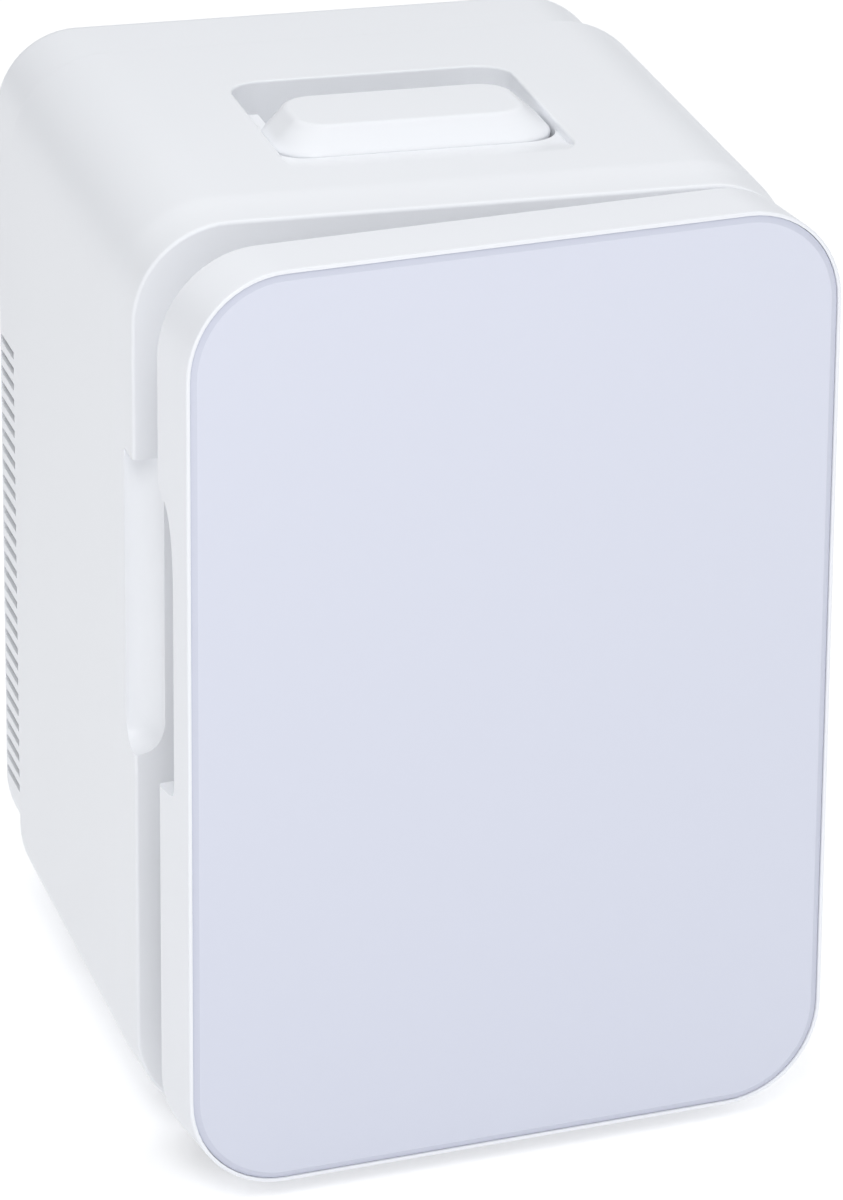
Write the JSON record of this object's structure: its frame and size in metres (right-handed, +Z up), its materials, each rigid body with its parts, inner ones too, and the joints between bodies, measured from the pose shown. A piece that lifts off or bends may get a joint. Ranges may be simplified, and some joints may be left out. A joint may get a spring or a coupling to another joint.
{
  "type": "mini fridge",
  "caption": "Rounded countertop mini fridge with a glass-fronted hinged door, a swing-up carry handle in its top, a shelf and door racks, and a louvred rear cover over its cooling unit.",
  "frame": {"origin": "bottom centre of the box round the whole object at rest, with its door 7.5 degrees ajar, on the plane the feet stand on", "axes": "+Z up, +X to the right seen from the front, +Y to the back, so the door faces -Y"},
  "size_m": [0.2468, 0.3228, 0.3515],
  "materials": {
    "white_plastic": "satin",
    "door_plastic": "satin",
    "white_glass": "polished",
    "liner_plastic": "satin",
    "rack_plastic": "satin",
    "foam": "matte",
    "seal": "matte",
    "rubber": "matte",
    "aluminium": "satin",
    "steel": "satin",
    "black_plastic": "matte",
    "ceramic": "matte",
    "board": "satin",
    "cool_lens": "gloss",
    "warm_lens": "gloss"
  },
  "bodies": {
    "cabinet": {"cabinet_shell": "white_plastic", "cabinet_liner": "liner_plastic", "cabinet_foam": "foam", "bulkhead": "white_plastic", "rear_cover": "white_plastic", "shelf": "rack_plastic", "foot_front_left": "rubber", "foot_front_right": "rubber", "foot_rear_left": "rubber", "foot_rear_right": "rubber", "cover_screw_1": "steel", "cover_screw_2": "steel", "cover_screw_3": "steel", "cover_screw_4": "steel", "handle_pin_left": "steel", "handle_pin_right": "steel", "power_board": "board", "board_transformer": "black_plastic", "board_capacitor": "black_plastic", "board_heat_plate": "aluminium", "mains_inlet": "black_plastic", "low_voltage_socket": "black_plastic", "switch_bezel": "black_plastic", "indicator_lens_cool": "cool_lens", "indicator_lens_warm": "warm_lens", "hinge_bracket_upper": "steel", "hinge_pin_upper": "steel", "hinge_screw_upper_1": "steel", "hinge_screw_upper_2": "steel", "hinge_bracket_lower": "steel", "hinge_pin_lower": "steel", "hinge_screw_lower_1": "steel", "hinge_screw_lower_2": "steel", "cold_side_sink": "aluminium", "cold_fan_frame": "black_plastic", "inner_fan_cover": "liner_plastic", "conduction_block": "aluminium", "thermoelectric_module": "ceramic", "hot_side_sink": "aluminium", "hot_fan_frame": "black_plastic"},
    "door": {"door_frame": "door_plastic", "door_glass": "white_glass", "door_foam": "foam", "door_inner_panel": "liner_plastic", "door_gasket": "seal", "door_rack_lower": "rack_plastic", "door_rack_upper": "rack_plastic"},
    "handle": {"carry_handle": "white_plastic"},
    "rocker": {"mode_switch": "black_plastic"},
    "cold_rotor": {"cold_fan_rotor": "black_plastic"},
    "hot_rotor": {"hot_fan_rotor": "black_plastic"}
  },
  "joints": [
    {"name": "door_hinge", "type": "hinge", "parent": "cabinet", "child": "door", "pos_m": [0.11365, -0.11306, 0.176], "axis": [0, 0, 1], "range_deg": [-7.5, 92.5]},
    {"name": "handle_pivot", "type": "hinge", "parent": "cabinet", "child": "handle", "pos_m": [-0.00135, 0.03594, 0.332], "axis": [-1, 0, 0], "range_deg": [0, 90]},
    {"name": "mode_rocker", "type": "hinge", "parent": "cabinet", "child": "rocker", "pos_m": [0.06465, 0.15724, 0.05], "axis": [0, 0, 1], "range_deg": [-10, 10]},
    {"name": "cold_fan_spin", "type": "hinge", "parent": "cabinet", "child": "cold_rotor", "pos_m": [-0.00135, 0.045, 0.169], "axis": [0, 1, 0], "continuous": true},
    {"name": "hot_fan_spin", "type": "hinge", "parent": "cabinet", "child": "hot_rotor", "pos_m": [-0.00135, 0.135, 0.169], "axis": [0, 1, 0], "continuous": true}
  ]
}
